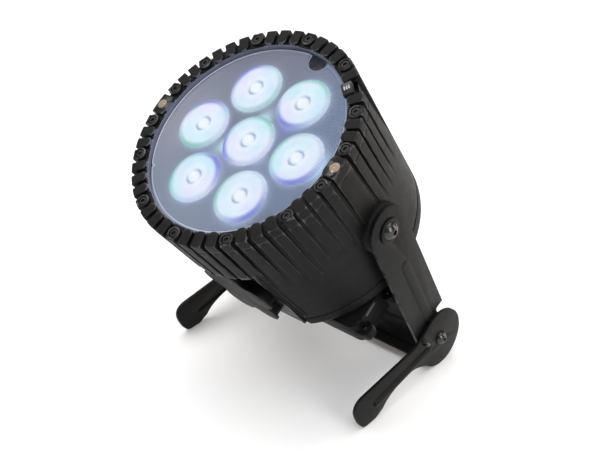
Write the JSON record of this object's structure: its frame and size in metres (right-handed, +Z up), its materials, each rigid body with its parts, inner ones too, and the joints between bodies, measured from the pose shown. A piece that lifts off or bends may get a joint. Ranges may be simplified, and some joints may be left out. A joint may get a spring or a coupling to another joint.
{
  "type": "par can light",
  "caption": "Weatherproof stage wash light: ribbed round head with clustered lamps behind a clear sheet, held in a bent yoke that stands on folding side legs.",
  "frame": {"origin": "on the floor, midway between the yoke arms and midway between the foremost and rearmost points", "axes": "+Z up; the lens looks towards -Y and up; +X to the right of someone behind the light, along the tilt axis"},
  "size_m": [0.243, 0.2558, 0.3088],
  "materials": {
    "cast_black": "fine textured black powder coat on cast aluminium",
    "dark_screw": "black oxide",
    "magnet_disc": "dull tan-grey face",
    "clear_sheet": "clear acrylic sheet with a light haze",
    "tempered_glass": "clear tempered glass",
    "seal_rubber": "soft black silicone",
    "lens_mask": "matt grey moulding",
    "clear_acrylic": "clear moulded acrylic with a knurled edge",
    "white_plastic": "white moulding",
    "led_phosphor": "domed resin",
    "core_board": "white solder mask on aluminium",
    "bare_aluminium": "plain mill finish",
    "circuit_board": "green solder mask",
    "bright_screw": "bright zinc plate",
    "blank_label": "blank foil strip",
    "dark_window": "dark tinted window",
    "key_rubber": "moulded silicone keys",
    "power_plastic": "blue-grey moulding",
    "data_plastic": "black moulding",
    "vent_plastic": "grey moulding",
    "coated_steel": "satin black powder coat on steel",
    "black_plastic": "black moulding",
    "knob_plastic": "shiny black moulding",
    "friction_lining": "pressed friction lining",
    "plunger_steel": "black oxide steel"
  },
  "bodies": {
    "yoke": {"yoke_crossbar": "coated_steel", "yoke_arm_right": "coated_steel", "yoke_arm_left": "coated_steel", "leg_spacers": "bright_screw", "leg_bolts": "coated_steel"},
    "head": {"housing": "cast_black", "front_bezel": "cast_black", "bezel_screws": "dark_screw", "filter_magnets": "magnet_disc", "diffuser_plate": "clear_sheet", "cover_glass": "tempered_glass", "glass_gasket": "seal_rubber", "lens_frame": "lens_mask", "collimator_lenses": "clear_acrylic", "lens_holders": "white_plastic", "led_packages": "led_phosphor", "led_board": "core_board", "heat_sink": "bare_aluminium", "driver_board": "circuit_board", "power_supply": "bare_aluminium", "rear_seal": "seal_rubber", "rear_cover": "cast_black", "rear_cover_screws": "bright_screw", "rear_box": "cast_black", "rear_box_seal": "seal_rubber", "rear_box_screws": "dark_screw", "label_plates": "blank_label", "control_board": "circuit_board", "display_window": "dark_window", "power_connectors": "power_plastic", "data_connectors": "data_plastic", "vent_plug": "vent_plastic", "safety_eye": "coated_steel", "service_cover": "black_plastic", "service_seal": "seal_rubber", "friction_discs": "friction_lining", "pivot_washers": "coated_steel", "pivot_bolts": "coated_steel"},
    "latch": {"filter_latch": "cast_black"},
    "knob": {"service_knob": "knob_plastic", "knob_cam": "bright_screw"},
    "key_menu": {"button_menu": "key_rubber"},
    "key_up": {"button_up": "key_rubber"},
    "key_down": {"button_down": "key_rubber"},
    "key_enter": {"button_enter": "key_rubber"},
    "leg_right": {"leg_right": "coated_steel"},
    "leg_left": {"leg_left": "coated_steel"},
    "plunger_right": {"plunger_right": "plunger_steel"},
    "plunger_left": {"plunger_left": "plunger_steel"}
  },
  "joints": [
    {"name": "head_tilt", "type": "hinge", "parent": "yoke", "child": "head", "pos_m": [0, 0.00899, 0.17744], "axis": [1, 0, 0], "range_deg": [-110, 100]},
    {"name": "leg_right_fold", "type": "hinge", "parent": "yoke", "child": "leg_right", "pos_m": [0.115, 0.07061, 0.0287], "axis": [-1, 0, 0], "range_deg": [0, 67.5]},
    {"name": "leg_left_fold", "type": "hinge", "parent": "yoke", "child": "leg_left", "pos_m": [-0.115, 0.07061, 0.0287], "axis": [-1, 0, 0], "range_deg": [0, 67.5]},
    {"name": "plunger_right_pull", "type": "slide", "parent": "leg_right", "child": "plunger_right", "axis": [1, 0, 0], "range_m": [0, 0.004], "stiffness_N_per_m": 900, "springref_m": -0.002},
    {"name": "plunger_left_pull", "type": "slide", "parent": "leg_left", "child": "plunger_left", "axis": [-1, 0, 0], "range_m": [0, 0.004], "stiffness_N_per_m": 900, "springref_m": -0.002},
    {"name": "latch_slide", "type": "slide", "parent": "head", "child": "latch", "axis": [0.7071, 0.6055, 0.3652], "range_m": [0, 0.003], "stiffness_N_per_m": 600, "springref_m": -0.002},
    {"name": "knob_turn", "type": "hinge", "parent": "head", "child": "knob", "pos_m": [0, -0.05053, 0.1135], "axis": [0, -0.8563, -0.5165], "range_deg": [0, 90]},
    {"name": "key_menu_press", "type": "slide", "parent": "head", "child": "key_menu", "axis": [0, -0.5165, 0.8563], "range_m": [0, 0.0012], "stiffness_N_per_m": 1500, "springref_m": -0.0004},
    {"name": "key_up_press", "type": "slide", "parent": "head", "child": "key_up", "axis": [0, -0.5165, 0.8563], "range_m": [0, 0.0012], "stiffness_N_per_m": 1500, "springref_m": -0.0004},
    {"name": "key_down_press", "type": "slide", "parent": "head", "child": "key_down", "axis": [0, -0.5165, 0.8563], "range_m": [0, 0.0012], "stiffness_N_per_m": 1500, "springref_m": -0.0004},
    {"name": "key_enter_press", "type": "slide", "parent": "head", "child": "key_enter", "axis": [0, -0.5165, 0.8563], "range_m": [0, 0.0012], "stiffness_N_per_m": 1500, "springref_m": -0.0004}
  ]
}
